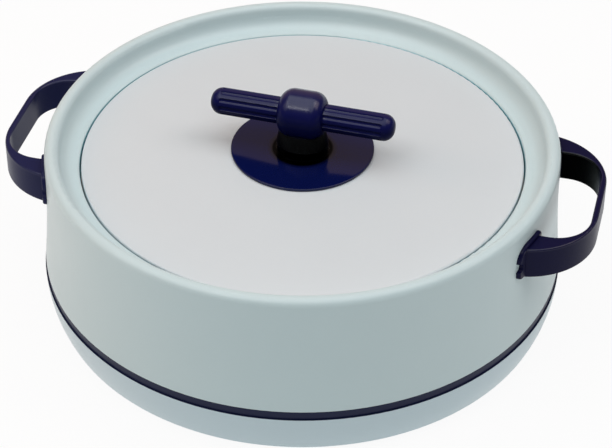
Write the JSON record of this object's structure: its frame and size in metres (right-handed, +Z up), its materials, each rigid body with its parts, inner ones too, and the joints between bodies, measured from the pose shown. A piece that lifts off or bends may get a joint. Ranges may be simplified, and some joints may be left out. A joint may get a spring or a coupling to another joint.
{
  "type": "insulated casserole",
  "caption": "Round insulated casserole with a steel bowl inside, loop handles at both sides and a recessed drop-in lid that lifts off by a fluted T-shaped knob.",
  "frame": {"origin": "middle of the foot ring on the table", "axes": "+Z up, +X through the right handle, the knob's bar nearly along X"},
  "size_m": [0.3078, 0.2696, 0.1204],
  "materials": {
    "body_plastic": "satin ice blue",
    "lid_plastic": "fine matt pale grey",
    "liner_plastic": "satin off-white",
    "trim_plastic": "semi-gloss navy",
    "handle_plastic": "semi-gloss navy",
    "knob_plastic": "satin navy",
    "rosette_plastic": "polished navy",
    "bowl_steel": "brushed",
    "screw_steel": "zinc plated",
    "seal_silicone": "matt translucent white",
    "foam": "rigid foam"
  },
  "bodies": {
    "pot": {"outer_shell": "body_plastic", "base_pan": "body_plastic", "trim_ring": "trim_plastic", "inner_bowl": "bowl_steel", "body_foam": "foam", "left_handle": "handle_plastic", "right_handle": "handle_plastic", "left_handle_screws": "screw_steel", "right_handle_screws": "screw_steel"},
    "seal": {"lid_seal": "seal_silicone"},
    "lid": {"lid_cover": "lid_plastic", "lid_liner": "liner_plastic", "lid_foam": "foam", "knob_rosette": "rosette_plastic", "knob_post": "knob_plastic", "grip_bar": "knob_plastic", "knob_screw": "screw_steel", "knob_washer": "screw_steel"}
  },
  "joints": [
    {"name": "lid_lift", "type": "slide", "parent": "pot", "child": "seal", "axis": [0, 0, 1], "range_m": [0, 0.12]},
    {"name": "lid_turn", "type": "hinge", "parent": "seal", "child": "lid", "pos_m": [0, 0, 0.0784], "axis": [0, 0, 1], "continuous": true}
  ]
}
